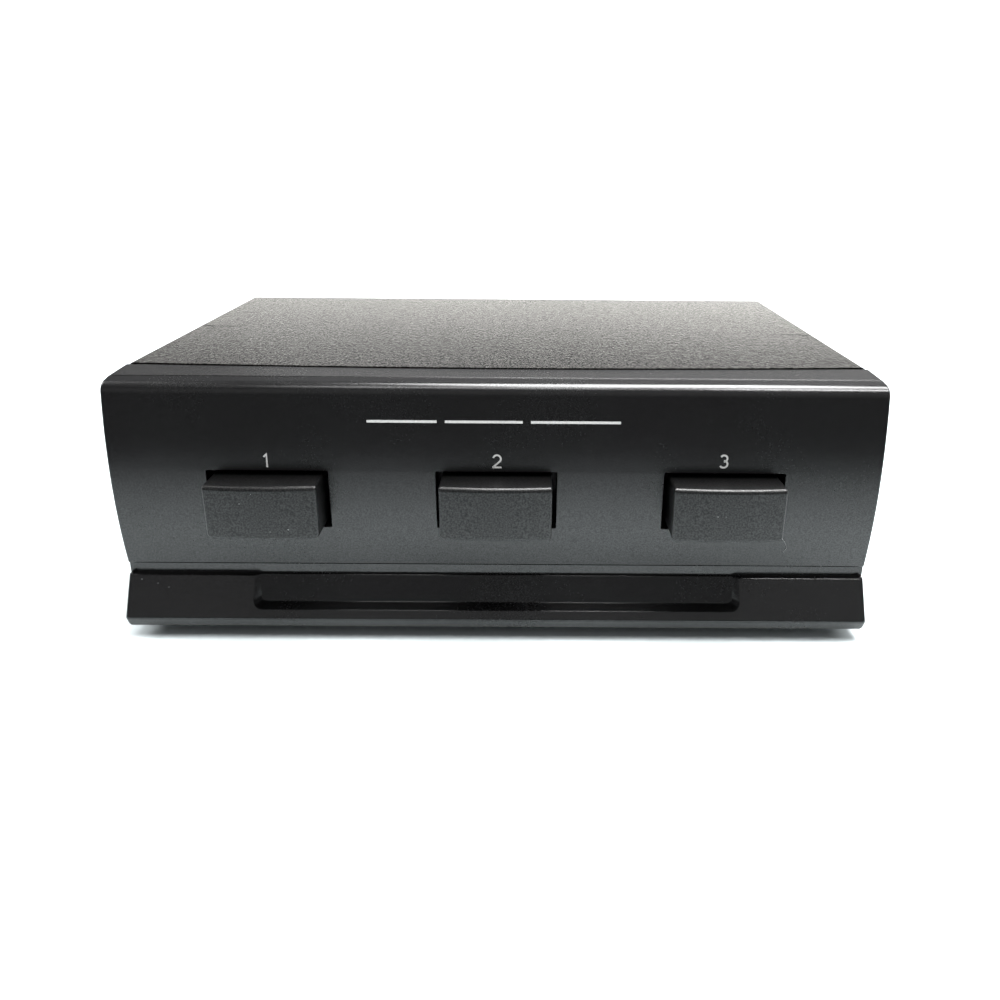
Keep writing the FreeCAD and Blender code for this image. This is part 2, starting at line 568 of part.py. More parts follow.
def button(c):
    hw, hh = BTN_W / 2, BTN_H / 2
    # plan section with a crowned front, extruded up
    a, m, b = V(c - hw, BTN_FRONT_Y, BTN_Z - hh), V(c, BTN_FRONT_Y - BTN_CROWN, BTN_Z - hh), V(c + hw, BTN_FRONT_Y, BTN_Z - hh)
    ra, rb = V(c + hw, BTN_REAR_Y, BTN_Z - hh), V(c - hw, BTN_REAR_Y, BTN_Z - hh)
    w = Part.Wire([Part.Arc(a, m, b).toShape(), Part.LineSegment(b, ra).toShape(), Part.LineSegment(ra, rb).toShape(), Part.LineSegment(rb, a).toShape()])
    s = Part.Face(w).extrude(V(0, 0, BTN_H))

    def front_top(e):
        m_ = mid(e)
        return m_.y < BTN_FRONT_Y + 0.3 and near(m_.z, BTN_Z + hh, 0.02)

    def rim(e):
        m_ = mid(e)
        side = near(abs(m_.x - c), hw, 0.03) and m_.y < BTN_REAR_Y - 0.5 and m_.z > BTN_Z - hh + 0.9
        return side or (m_.y < BTN_FRONT_Y + 0.3 and m_.z < BTN_Z + hh - 1.2)
    s = fillet(s, 0.9, front_top, "button top front edge")
    s = fillet(s, 1.0, lambda e: along(e, "y") and near(mid(e).z, BTN_Z - hh), "button lower corners")
    s = fillet(s, 0.45, rim, "button rim")
    t = 1.5
    inner = box(c - hw + t, c + hw - t, BTN_FRONT_Y + t + 0.3, BTN_REAR_Y + 1, BTN_Z - hh + t, BTN_Z + hh - t)
    s = s.cut(inner)
    # socket for the plunger, with two webs to the top and bottom walls
    y0 = BTN_FRONT_Y + t
    boss = box(c - 3.6, c + 3.6, y0, -12.5, BTN_Z - 3.6, BTN_Z + 3.6)
    web = box(c - 0.6, c + 0.6, y0, -12.5, BTN_Z - hh + 0.7, BTN_Z + hh - 0.7)
    web2 = box(c - hw + 0.7, c + hw - 0.7, y0, -14.0, BTN_Z - 0.6, BTN_Z + 0.6)
    s = s.fuse([boss, web, web2]).removeSplitter()
    s = s.cut(box(c - SHAFT, c + SHAFT, -20.5, -5, BTN_Z - SHAFT, BTN_Z + SHAFT))
    return one(s)


for n, c in ((1, -PITCH), (2, 0.0), (3, PITCH)):
    put("button_%d" % n, button(c))
    put("switch_%d_housing" % n, housing(c))
    put("switch_%d_plunger" % n, plunger(c))
    put("switch_%d_spring" % n, spring(c))
    put("switch_%d_latch_pin" % n, latch(c))
    put("switch_%d_fixed_pins" % n, pins(c))
    put("switch_%d_moving_contacts" % n, clips(c))


# ---------------------------------------------------------------- spring-clip terminals
def block(x, z):
    p = PANEL_Y
    plate = box(x - 27, x + 27, p, p + 2.0, z - 8.6, z + 8.8)
    plate = plate.makeFillet(2.2, [e for e in plate.Edges if along(e, "y")])
    plate = plate.makeFillet(0.4, [e for e in plate.Edges if near(mid(e).y, p + 2.0)])
    body = box(x - 20.3, x + 20.3, p - 11.0, p + 0.5, z - 8.0, z + 8.2)
    s = plate.fuse(body)
    cuts = []
    for px in positions(x):
        win = box(px - WIN_HW, px + WIN_HW, p - 9.6, p + 3.0, z - 6.9, z + 7.0)
        cuts.append(win)
        # flared lead-in below the lever
        cuts.append(prism_x([(p + 2.1, z - 7.7), (p + 2.1, z - 6.8), (p + 0.9, z - 6.8)], px - WIN_HW, px + WIN_HW))
        cuts.append(box(px - 2.5, px + 2.5, p - 12, p - 9, z - 6.95, z - 6.3))
    cuts.append(cyl((x - 19.3, p + PIV_V, z + PIV_W), (1, 0, 0), BORE_R, 38.6))
    for e in (-23.7, 23.7):
        cuts.append(cyl((x + e, p - 1, z), (0, 1, 0), 1.6, 4))
    return one(s.cut(cuts).removeSplitter())


def lever(x, z):
    p = PANEL_Y

    def Q(v, w):
        return (p + v, z + w)
    arm = prism_x([Q(-5.9, 4.3), Q(-1.0, 5.55), Q(3.0, 6.25), Q(7.1, 7.15), Q(LEVER_TIP_V - 0.12, 6.9), Q(LEVER_TIP_V, 6.3), Q(7.6, 5.2), Q(2.6, 3.7), Q(-1.0, 2.7), Q(-4.0, 0.9)], x - LEVER_HW, x + LEVER_HW)
    hub = cyl((x - LEVER_HW, p + PIV_V, z + PIV_W), (1, 0, 0), 2.0, 2 * LEVER_HW)
    a = math.radians(240)
    hx, hz = PIV_V + 2.9 * math.cos(a), PIV_W + 2.9 * math.sin(a)
    heel = cyl((x - 2.2, p + hx, z + hz), (1, 0, 0), 0.5, 4.4)
    u = (math.cos(a + math.pi / 2), math.sin(a + math.pi / 2))
    web = prism_x([Q(PIV_V + 0.9 * u[0], PIV_W + 0.9 * u[1]), Q(hx + 0.5 * u[0], hz + 0.5 * u[1]), Q(hx - 0.5 * u[0], hz - 0.5 * u[1]), Q(PIV_V - 0.9 * u[0], PIV_W - 0.9 * u[1])], x - 2.2, x + 2.2)
    pin = cyl((x - LEVER_HW - 1.1, p + PIV_V, z + PIV_W), (1, 0, 0), TRUNNION_R, 2 * LEVER_HW + 2.2)
    ribs = [cyl((x - 2.6, p + v, z + w), (1, 0, 0), 0.32, 5.2) for v, w in ((3.3, 6.28), (4.7, 6.6), (6.1, 6.9))]
    s = arm.fuse([hub, heel, web, pin] + ribs).removeSplitter()
    s = fillet(s, 0.3, lambda e: is_line(e) and not along(e, "x") and near(abs(mid(e).x - x), LEVER_HW, 0.01) and mid(e).y > p + 0.2, "lever sides")
    return one(s)


def contacts(x, z):
    p = PANEL_Y
    r = []
    for px in positions(x):
        s = prism_x([(p - 8.0, z - 6.85), (p - 8.0, z + 5.4), (p - 8.45, z + 5.4), (p - 8.45, z - 6.4), (p - 16.0, z - 6.4), (p - 16.0, z - 6.85)], px - 2.4, px + 2.4)
        s = s.cut([box(px - 1.7, px + 1.7, p - 9, p - 7.5, z - 5.9, z - 2.4), cyl((px, p - 15.0, z - 8), (0, 0, 1), 0.7, 3)])
        r.append(one(s))
    return Part.makeCompound(r)


def wires(x, z):
    """Insulated hook-up wires, one from each lug to its pad on the board, with bare tinned ends."""
    r = []
    rad, core, bend = 0.9, 0.45, 9.0
    up = z > BOARD_Z1
    zw = z - 5.75
    yp = PAD_Y[z]
    y_start, y_hole = PANEL_Y - 16.35, PANEL_Y - 15.0
    for px in positions(x):
        zend = BOARD_Z1 + 0.02 if up else BOARD_Z0 - 0.02
        sgn = -1 if up else 1
        p0, p1 = V(px, y_start, zw), V(px, yp + bend, zw)
        p2, p3 = V(px, yp, zw + sgn * bend), V(px, yp, zend)
        k = bend * (1 - math.sqrt(0.5))
        pm = V(px, yp + k, zw + sgn * k)
        path = Part.Wire([Part.LineSegment(p0, p1).toShape(), Part.Arc(p1, pm, p2).toShape(), Part.LineSegment(p2, p3).toShape()])
        prof = Part.Wire(Part.makeCircle(rad, p0, V(0, -1, 0)))
        s = path.makePipeShell([prof], True, True)
        s = s if s.ShapeType == "Solid" else Part.Solid(s)
        lo_z, hi_z = (BOARD_Z0 - 0.8, zend + 0.5) if up else (zend - 0.5, BOARD_Z1 + 0.8)
        tail = cyl((px, yp, lo_z), (0, 0, 1), core, hi_z - lo_z)
        bare = cyl((px, y_start - 0.5, zw), (0, 1, 0), core, y_hole - y_start + 0.5)
        hook = cyl((px, y_hole, z - 7.7), (0, 0, 1), core, zw - z + 7.7)
        s = s.fuse([tail, bare, hook, Part.makeSphere(core, V(px, y_hole, zw))]).removeSplitter()
        r.append(one(s))
    return Part.makeCompound(r)


POLES = ("left_plus", "left_minus", "right_plus", "right_minus")
for name, (x, z) in BLOCKS.items():
    put(name + "_terminal_block", block(x, z))
    put(name + "_leaf_contacts", contacts(x, z))
    put(name + "_wires", wires(x, z))
    for pole, px in zip(POLES, positions(x)):
        put("%s_%s_lever" % (name, pole), lever(px, z))

# ---------------------------------------------------------------- export
lo, hi = V(1e9, 1e9, 1e9), V(-1e9, -1e9, -1e9)
for name, shape in OUT.items():
    shape = shape.copy()
    shape.translate(V(0, Y_SHIFT, 0))
    n = len(shape.Solids)
    ok = shape.isValid() and all(s.Volume > 0 for s in shape.Solids)
    b = shape.BoundBox
    if not ok:
        print("   !! invalid", name)
    print("%-32s %3d solid(s) %10.2f mm3  x %.2f..%.2f y %.2f..%.2f z %.2f..%.2f" % (name, n, shape.Volume, b.XMin, b.XMax, b.YMin, b.YMax, b.ZMin, b.ZMax))
    shape.exportStep("parts/%s.step" % name)
print("nodes", len(OUT), "Y_SHIFT", round(Y_SHIFT, 4))
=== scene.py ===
import json
import math

import bmesh
import bpy
from mathutils import Matrix, Vector


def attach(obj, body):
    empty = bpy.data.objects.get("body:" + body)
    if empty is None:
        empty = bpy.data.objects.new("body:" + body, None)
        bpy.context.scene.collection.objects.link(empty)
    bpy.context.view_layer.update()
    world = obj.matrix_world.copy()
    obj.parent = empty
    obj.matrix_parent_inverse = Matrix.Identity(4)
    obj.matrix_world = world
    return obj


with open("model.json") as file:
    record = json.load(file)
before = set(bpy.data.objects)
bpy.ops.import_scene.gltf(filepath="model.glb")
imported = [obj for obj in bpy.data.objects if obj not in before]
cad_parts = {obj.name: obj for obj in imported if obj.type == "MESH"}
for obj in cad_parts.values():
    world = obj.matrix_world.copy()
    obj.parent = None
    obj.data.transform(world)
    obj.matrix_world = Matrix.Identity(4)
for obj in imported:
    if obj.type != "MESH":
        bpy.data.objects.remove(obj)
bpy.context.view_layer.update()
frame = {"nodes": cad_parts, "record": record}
NODES = frame["nodes"]
MM = 0.001
CREASE_Y = 42.0    # faint crosswise crease near the edges of the cover
INK = (0.50, 0.50, 0.49)
WALL_TOP = (0.72, 0.75)    # height of the backdrop's upper edge, left and right, in metres
BACK_W = 105.0
KEY_L = 24.0             # radiance of the overhead light
WORLD = 0.245
Y_SHIFT = -40.24  # the case frame's y = 0 is the front edge of the cover


# ---------------------------------------------------------------- camera
def make_camera():
    yaw, pitch, roll = 0.00605, 0.36796, 0.00872
    fwd = Vector((math.sin(yaw) * math.cos(pitch), math.cos(yaw) * math.cos(pitch), -math.sin(pitch)))
    right = Vector((math.cos(yaw), -math.sin(yaw), 0.0))
    up = right.cross(fwd)
    r2 = math.cos(roll) * right + math.sin(roll) * up
    u2 = -math.sin(roll) * right + math.cos(roll) * up
    back = -fwd
    m = Matrix(((r2.x, u2.x, back.x, 5.786 * MM), (r2.y, u2.y, back.y, (-197.633 + Y_SHIFT) * MM), (r2.z, u2.z, back.z, 102.376 * MM), (0, 0, 0, 1)))
    cam = bpy.data.cameras.new("camera")
    cam.sensor_fit = "HORIZONTAL"
    cam.sensor_width = 36.0
    cam.lens = 32.258
    cam.shift_x = -0.0283
    cam.clip_start = 0.005
    cam.clip_end = 30.0
    ob = bpy.data.objects.new("camera", cam)
    bpy.context.scene.collection.objects.link(ob)
    ob.matrix_world = m
    bpy.context.scene.camera = ob
    return ob


make_camera()


# ---------------------------------------------------------------- node helper
class Tree:
    def __init__(self, name):
        self.mat = bpy.data.materials.new(name)
        self.mat.use_nodes = True
        self.t = self.mat.node_tree
        self.t.nodes.clear()
        self.out = self.n("ShaderNodeOutputMaterial")
        self.bsdf = self.n("ShaderNodeBsdfPrincipled")
        self.link(self.bsdf, "BSDF", self.out, "Surface")
        self.co = self.n("ShaderNodeTexCoord")

    def n(self, kind, **props):
        node = self.t.nodes.new(kind)
        for k, v in props.items():
            setattr(node, k, v)
        return node

    def link(self, a, out, b, inp):
        self.t.links.new(a.outputs[out], b.inputs[inp])

    def set(self, **values):
        for k, v in values.items():
            self.bsdf.inputs[k.replace("_", " ")].default_value = v

    def mm(self, scale=1.0, stretch=(1, 1, 1), shift=(0, 0, 0)):
        """Row-frame position in millimetres, times scale."""
        m = self.n("ShaderNodeMapping")
        m.inputs["Location"].default_value = shift
        m.inputs["Scale"].default_value = [1000.0 * scale * s for s in stretch]
        self.link(self.co, "Object", m, "Vector")
        return m

    def noise(self, size_mm, detail=2.0, rough=0.5, stretch=(1, 1, 1), distortion=0.0, shift=(0, 0, 0)):
        x = self.n("ShaderNodeTexNoise")
        x.inputs["Scale"].default_value = 1.0
        x.inputs["Detail"].default_value = detail
        x.inputs["Roughness"].default_value = rough
        x.inputs["Distortion"].default_value = distortion
        self.link(self.mm(1.0 / size_mm, stretch, shift), "Vector", x, "Vector")
        return x

    def voronoi(self, size_mm, feature="F1", randomness=1.0, stretch=(1, 1, 1)):
        x = self.n("ShaderNodeTexVoronoi", feature=feature)
        x.inputs["Scale"].default_value = 1.0
        x.inputs["Randomness"].default_value = randomness
        self.link(self.mm(1.0 / size_mm, stretch), "Vector", x, "Vector")
        return x

    def ramp(self, src, out, stops, interp="LINEAR"):
        r = self.n("ShaderNodeValToRGB")
        r.color_ramp.interpolation = interp
        els = r.color_ramp.elements
        while len(els) > 2:
            els.remove(els[-1])
        els[0].position, els[0].color = stops[0][0], tuple(stops[0][1])
        els[1].position, els[1].color = stops[1][0], tuple(stops[1][1])
        for p, c in stops[2:]:
            e = els.new(p)
            e.color = tuple(c)
        self.link(src, out, r, "Fac")
        return r

    def map(self, src, out, a, b, c, d):
        m = self.n("ShaderNodeMapRange")
        m.inputs["From Min"].default_value = a
        m.inputs["From Max"].default_value = b
        m.inputs["To Min"].default_value = c
        m.inputs["To Max"].default_value = d
        self.t.links.new(src.outputs[out], m.inputs["Value"])
        return m

    def math(self, op, a, b):
        m = self.n("ShaderNodeMath", operation=op)
        for i, v in enumerate((a, b)):
            if isinstance(v, (int, float)):
                m.inputs[i].default_value = v
            else:
                self.t.links.new(v, m.inputs[i])
        return m

    def mix(self, fac, a, b, blend="MIX"):
        m = self.n("ShaderNodeMix", data_type="RGBA", blend_type=blend)
        for key, v in (("Factor", fac), ("A", a), ("B", b)):
            i = {"Factor": 0, "A": 6, "B": 7}[key]
            if hasattr(v, "links"):
                self.t.links.new(v, m.inputs[i])
            else:
                m.inputs[i].default_value = v
        return m.outputs[2]

    def bump(self, height, distance_mm, strength=1.0, below=None):
        b = self.n("ShaderNodeBump")
        b.inputs["Strength"].default_value = strength
        b.inputs["Distance"].default_value = distance_mm * MM
        self.t.links.new(height, b.inputs["Height"])
        if below is not None:
            self.t.links.new(below.outputs["Normal"], b.inputs["Normal"])
        self.link(b, "Normal", self.bsdf, "Normal")
        return b

    def color(self, socket):
        self.t.links.new(socket, self.bsdf.inputs["Base Color"])

    def rough(self, socket):
        self.t.links.new(socket, self.bsdf.inputs["Roughness"])


def g(v, a=1.0):
    return (v, v, v, a)


# ---------------------------------------------------------------- materials
def satin_plastic(name, base=(0.0018, 0.0018, 0.0019), rough=0.25, grain=0.006, grain_mm=0.30, spec=0.5, spread=0.22):
    t = Tree(name)
    # cloudy mould colour, plus sparse dust specks
    cloud = t.noise(24.0, 3.0, 0.55)
    c = t.ramp(cloud, "Fac", [(0.3, (base[0] * 0.85, base[1] * 0.85, base[2] * 0.85, 1)), (0.7, (base[0] * 1.2, base[1] * 1.2, base[2] * 1.2, 1))])
    dust = t.voronoi(4.1)
    size = t.noise(1.7, 1.0, 0.5)
    lim = t.map(size, "Fac", 0.4, 0.8, 0.002, 0.024)
    speck = t.math("LESS_THAN", dust.outputs["Distance"], lim.outputs["Result"])
    col = t.mix(speck.outputs[0], c.outputs["Color"], (0.035, 0.035, 0.033, 1))
    t.color(col)
    fine = t.noise(0.55, 3.0, 0.6)
    wide = t.noise(17.0, 2.0, 0.5)
    r1 = t.map(wide, "Fac", 0.3, 0.7, rough - 0.02, rough + 0.02)
    r2 = t.map(fine, "Fac", 0.3, 0.7, -0.02, 0.02)
    s = t.math("ADD", r1.outputs["Result"], r2.outputs["Result"])
    t.rough(s.outputs[0])
    micro = t.noise(grain_mm, 2.0, 0.6)
    worn = t.n("ShaderNodeBevel", samples=4)
    worn.inputs["Radius"].default_value = 0.22 * MM
    b1 = t.bump(micro.outputs["Fac"], grain, 0.6, below=worn)
    gloss = t.map(micro, "Fac", 0.36, 0.64, spec * (1.0 - spread), spec * (1.0 + spread))
    t.link(gloss, "Result", t.bsdf, "Specular IOR Level")
    slow = t.noise(9.0, 1.0, 0.4)
    t.bump(slow.outputs["Fac"], 0.012, 0.3, below=b1)
    return t.mat


def powder_coat(name, base=(0.0062, 0.0060, 0.0054), rough=0.155):
    t = Tree(name)
    lump = t.noise(0.42, 2.0, 0.55, distortion=0.2)
    cell = t.voronoi(0.5, "SMOOTH_F1")
    h = t.math("MULTIPLY", lump.outputs["Fac"], 0.75)
    h2 = t.math("MULTIPLY", cell.outputs["Distance"], 0.35)
    height = t.math("ADD", h.outputs[0], h2.outputs[0])
    # fine light and dark grain
    salt = t.noise(0.42, 1.0, 0.5, stretch=(1, 0.30, 1), shift=(7.3, 2.9, 0))
    c = t.ramp(salt, "Fac", [(0.37, tuple(v * 0.25 for v in base) + (1,)), (0.52, tuple(v * 0.8 for v in base) + (1,)), (0.65, tuple(v * 3.0 for v in base) + (1,))])
    t.color(c.outputs["Color"])
    r = t.map(lump, "Fac", 0.3, 0.7, rough + 0.06, rough - 0.06)
    t.rough(r.outputs["Result"])
    b0 = t.bump(height.outputs[0], 0.030, 0.7)
    # orange peel, longer from front to back
    peel = t.noise(0.40, 1.5, 0.5, stretch=(1, 0.3, 1))
    b1 = t.bump(peel.outputs["Fac"], 0.045, 0.9, below=b0)
    # pits are matt, peaks are glossy
    gloss = t.map(salt, "Fac", 0.37, 0.63, 0.042, 0.264)
    t.link(gloss, "Result", t.bsdf, "Specular IOR Level")
    # the sheet is faintly creased across its two edges
    sep = t.n("ShaderNodeSeparateXYZ")
    t.link(t.mm(1.0), "Vector", sep, "Vector")
    ax = t.math("ABSOLUTE", sep.outputs["X"], 0.0)
    edge = t.map(ax, 0, 69.0, 78.0, 0.0, 1.0)
    skew = t.math("MULTIPLY", sep.outputs["X"], 0.043)
    along = t.math("ADD", sep.outputs["Y"], skew.outputs[0])
    dy = t.math("SUBTRACT", along.outputs[0], CREASE_Y + Y_SHIFT)
    step = t.map(dy, 0, -0.8, 0.8, 0.0, 1.0)
    fade = t.map(dy, 0, 0.8, 16.0, 1.0, 0.0)
    ridge = t.math("MULTIPLY", step.outputs["Result"], fade.outputs["Result"])
    ridge2 = t.math("MULTIPLY", ridge.outputs[0], edge.outputs["Result"])
    t.bump(ridge2.outputs[0], 0.05, 0.6, below=b1)
    return t.mat


def painted_sheet(name, base=0.02):
    t = Tree(name)
    t.set(Specular_IOR_Level=0.5)
    n = t.noise(0.9, 3.0, 0.6)
    c = t.ramp(n, "Fac", [(0.3, g(base * 0.75)), (0.7, g(base * 1.3))])
    t.color(c.outputs["Color"])
    r = t.map(n, "Fac", 0.3, 0.7, 0.48, 0.38)
    t.rough(r.outputs["Result"])
    t.bump(n.outputs["Fac"], 0.05, 0.5)
    return t.mat


def rubber(name):
    t = Tree(name)
    t.set(Specular_IOR_Level=0.35)
    n = t.noise(0.5, 4.0, 0.7)
    big = t.noise(5.0, 2.0, 0.5)
    c = t.ramp(big, "Fac", [(0.3, (0.012, 0.012, 0.012, 1)), (0.75, (0.03, 0.029, 0.028, 1))])
    t.color(c.outputs["Color"])
    r = t.map(n, "Fac", 0.3, 0.7, 0.72, 0.9)
    t.rough(r.outputs["Result"])
    t.bump(n.outputs["Fac"], 0.05, 0.5)
    return t.mat


def metal(name, color, rough, brushed=(1, 1, 1), size=0.35, dark=0.6, metallic=1.0):
    t = Tree(name)
    t.set(Metallic=metallic)
    n = t.noise(size, 3.0, 0.6, stretch=brushed)
    stain = t.noise(2.6, 3.0, 0.6)
    lo = tuple(v * dark for v in color) + (1,)
    c = t.ramp(stain, "Fac", [(0.3, lo), (0.62, tuple(color) + (1,))])
    t.color(c.outputs["Color"])
    r = t.map(n, "Fac", 0.3, 0.7, rough - 0.07, rough + 0.1)
    t.rough(r.outputs["Result"])
    t.bump(n.outputs["Fac"], 0.012, 0.45)
    return t.mat


def moulded(name, color, rough=0.38, spec=0.5, grain=0.02):
    t = Tree(name)
    t.set(Specular_IOR_Level=spec)
    n = t.noise(0.35, 3.0, 0.6)
    big = t.noise(6.0, 2.0, 0.5)
    lo = tuple(v * 0.85 for v in color) + (1,)
    hi = tuple(v * 1.12 for v in color) + (1,)
    c = t.ramp(big, "Fac", [(0.3, lo), (0.7, hi)])
    t.color(c.outputs["Color"])
    r = t.map(n, "Fac", 0.3, 0.7, rough - 0.04, rough + 0.07)
    t.rough(r.outputs["Result"])
    t.bump(n.outputs["Fac"], grain, 0.5)
    return t.mat


def board(name):
    t = Tree(name)
    t.set(Specular_IOR_Level=0.5)
    # tracks under a solder mask: stripes broken up into cells
    cells = t.voronoi(7.0, "F1", 0.9, stretch=(1, 1, 0))
    w = t.n("ShaderNodeTexWave", wave_type="BANDS", bands_direction="X")
    w.inputs["Scale"].default_value = 0.12
    w.inputs["Distortion"].default_value = 0.0
    t.link(t.mm(1.0), "Vector", w, "Vector")
    track = t.math("GREATER_THAN", w.outputs["Fac"], 0.55)
    col = t.mix(track.outputs[0], (0.012, 0.075, 0.03, 1), (0.02, 0.125, 0.05, 1))
    n = t.noise(1.2, 2.0, 0.5)
    col2 = t.mix(0.2, col, n.outputs["Color"], "SOFT_LIGHT")
    t.color(col2)
    r = t.map(n, "Fac", 0.3, 0.7, 0.22, 0.32)
    t.rough(r.outputs["Result"])
    t.bump(track.outputs[0], 0.035, 0.6)
    return t.mat


def wire_skin(name):
    """Insulation coloured by the wire's place in its row: the first and third are red, the others black."""
    t = Tree(name)
    t.set(Specular_IOR_Level=0.5)
    sep = t.n("ShaderNodeSeparateXYZ")
    t.link(t.mm(1.0), "Vector", sep, "Vector")
    x = t.math("ABSOLUTE", sep.outputs["X"], 0.0)
    off = t.math("SUBTRACT", sep.outputs["X"], -33.0 - 2 * 9.6)
    cyc = t.math("DIVIDE", off.outputs[0], 19.2)
    fr = t.math("FRACT", cyc.outputs[0], 0.0)
    red = t.math("LESS_THAN", fr.outputs[0], 0.5)
    right = t.math("GREATER_THAN", sep.outputs["X"], 0.0)
    off2 = t.math("SUBTRACT", sep.outputs["X"], 33.0 - 2 * 9.6)
    cyc2 = t.math("DIVIDE", off2.outputs[0], 19.2)
    fr2 = t.math("FRACT", cyc2.outputs[0], 0.0)
    red2 = t.math("LESS_THAN", fr2.outputs[0], 0.5)
    m1 = t.mix(red.outputs[0], (0.015, 0.015, 0.015, 1), (0.35, 0.015, 0.012, 1))
    m2 = t.mix(red2.outputs[0], (0.015, 0.015, 0.015, 1), (0.35, 0.015, 0.012, 1))
    col = t.mix(right.outputs[0], m1, m2)
    t.color(col)
    n = t.noise(0.8, 2.0, 0.5)
    r = t.map(n, "Fac", 0.3, 0.7, 0.34, 0.46)
    t.rough(r.outputs["Result"])
    t.bump(n.outputs["Fac"], 0.02, 0.4)
    return t.mat


def ink(name, color=(0.72, 0.73, 0.74), rough=0.5):
    t = Tree(name)
    n = t.noise(0.35, 3.0, 0.6)
    c = t.ramp(n, "Fac", [(0.25, tuple(v * 0.72 for v in color) + (1,)), (0.6, tuple(color) + (1,))])
    t.color(c.outputs["Color"])
    r = t.map(n, "Fac", 0.3, 0.7, rough - 0.05, rough + 0.08)
    t.rough(r.outputs["Result"])
    return t.mat


M = {
    "satin_black_plastic": satin_plastic("satin_black_plastic"),
    "black_powder_coat": powder_coat("black_powder_coat"),
    "black_painted_steel": painted_sheet("black_painted_steel"),
    "black_rubber": rubber("black_rubber"),
    "black_screw_steel": metal("black_screw_steel", (0.09, 0.09, 0.095), 0.32),
    "zinc_screw_steel": metal("zinc_screw_steel", (0.62, 0.62, 0.6), 0.28),
    "board_laminate": board("board_laminate"),
    "brass_standoff": metal("brass_standoff", (0.72, 0.55, 0.25), 0.25),
    "switch_housing_plastic": moulded("switch_housing_plastic", (0.03, 0.03, 0.032)),
    "plunger_plastic": moulded("plunger_plastic", (0.7, 0.68, 0.6), 0.4),
    "spring_steel": metal("spring_steel", (0.55, 0.55, 0.56), 0.22),
    "contact_brass": metal("contact_brass", (0.72, 0.68, 0.58), 0.25),
    "terminal_plastic": moulded("terminal_plastic", (0.014, 0.014, 0.014), 0.42),
    "lever_red": moulded("lever_red", (0.42, 0.012, 0.010), 0.3),
    "lever_black": moulded("lever_black", (0.012, 0.012, 0.012), 0.3),
    "wire_insulation": wire_skin("wire_insulation"),
}
M["button_plastic"] = satin_plastic("button_plastic", base=(0.0017, 0.0017, 0.0018), rough=0.36, grain=0.008, grain_mm=0.35, spread=0.34)

slot_of = {s["node"]: s["material_slot"] for s in frame["record"]["subparts"]}
for name, ob in NODES.items():
    mat = M["button_plastic"] if name.startswith("button_") else M[slot_of[name]]
    if ob.data.materials:
        for i in range(len(ob.data.materials)):
            ob.data.materials[i] = mat
    else:
        ob.data.materials.append(mat)


# ---------------------------------------------------------------- printed marks
def face_point(z):
    """Point and tilt of the barrel face at height z, in millimetres."""
    cy, cz, r = 81.73 + Y_SHIFT, 35.95, 98.885
    a = math.asin((z - cz) / r)
    return cy - r * math.cos(a), a


def strokes_mesh(name, strokes, width):
    """Flat ribbons of one width along polylines, in millimetres, in the XY plane."""
    bm = bmesh.new()
    h = width / 2.0
    for pts in strokes:
        pts = [Vector(p) for p in pts]
        left, right = [], []
        for i, p in enumerate(pts):
            d0 = (p - pts[i - 1]).normalized() if i else None
            d1 = (pts[i + 1] - p).normalized() if i < len(pts) - 1 else None
            d = (d0 + d1).normalized() if d0 and d1 else (d0 or d1)
            side = Vector((-d.y, d.x))
            k = h / max(0.5, side.dot(Vector((-(d1 or d0).y, (d1 or d0).x))))
            left.append(bm.verts.new((*((p + side * k) * MM), 0.0)))
            right.append(bm.verts.new((*((p - side * k) * MM), 0.0)))
        for i in range(len(pts) - 1):
            bm.faces.new((right[i], right[i + 1], left[i + 1], left[i]))
    bmesh.ops.recalc_face_normals(bm, faces=bm.faces)
    for f in bm.faces:
        if f.normal.z < 0:
            f.normal_flip()
    me = bpy.data.meshes.new(name)
    bm.to_mesh(me)
    bm.free()
    ob = bpy.data.objects.new(name, me)
    bpy.context.scene.collection.objects.link(ob)
    return ob


def arc(cx, cy, r, a0, a1, n=16, squash=1.0):
    return [(cx + r * math.cos(math.radians(a0 + (a1 - a0) * i / n)), cy + squash * r * math.sin(math.radians(a0 + (a1 - a0) * i / n))) for i in range(n + 1)]


def glyph(ch, cap, w):
    """Centre lines of a plain numeral or sign, cap height cap, stroke width w."""
    t, r = cap / 2.0 - w / 2.0, 0.31 * cap
    if ch == "1":
        return [[(-0.5, t - 0.62), (0.12, t), (0.12, -cap / 2.0)]]
    if ch == "2":
        return [arc(0, t - 0.27 * cap, 0.27 * cap, 165, -35, 18) + [(-0.29 * cap, -t)], [(-0.33 * cap, -t), (0.31 * cap, -t)]]
    if ch == "3":
        a, b = 0.225 * cap, 0.2375 * cap
        return [arc(0, t - a, a * 1.05, 150, -90, 18, 0.95), arc(0, -t + b, b * 1.12, 90, -152, 20, 0.93)]
    if ch == "+":
        return [[(-r, 0), (r, 0)], [(0, -r), (0, r)]]
    return [[(-r, 0), (r, 0)]]


def place(ob, p, right, up, body):
    n = right.cross(up)
    ob.matrix_world = Matrix(((right.x, up.x, n.x, p.x * MM), (right.y, up.y, n.y, p.y * MM), (right.z, up.z, n.z, p.z * MM), (0, 0, 0, 1)))
    ob.data.materials.append(M["ink"])
    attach(ob, body)


def on_face(ob, x, z):
    y, a = face_point(z)
    n = Vector((0, -math.cos(a), math.sin(a)))
    place(ob, Vector((x, y, z)) + n * 0.03, Vector((1, 0, 0)), Vector((0, math.sin(a), math.cos(a))), "case")


def on_back(ob, x, z, lift=0.03):
    place(ob, Vector((x, PANEL_Y + Y_SHIFT + lift, z)), Vector((-1, 0, 0)), Vector((0, 0, 1)), "case")


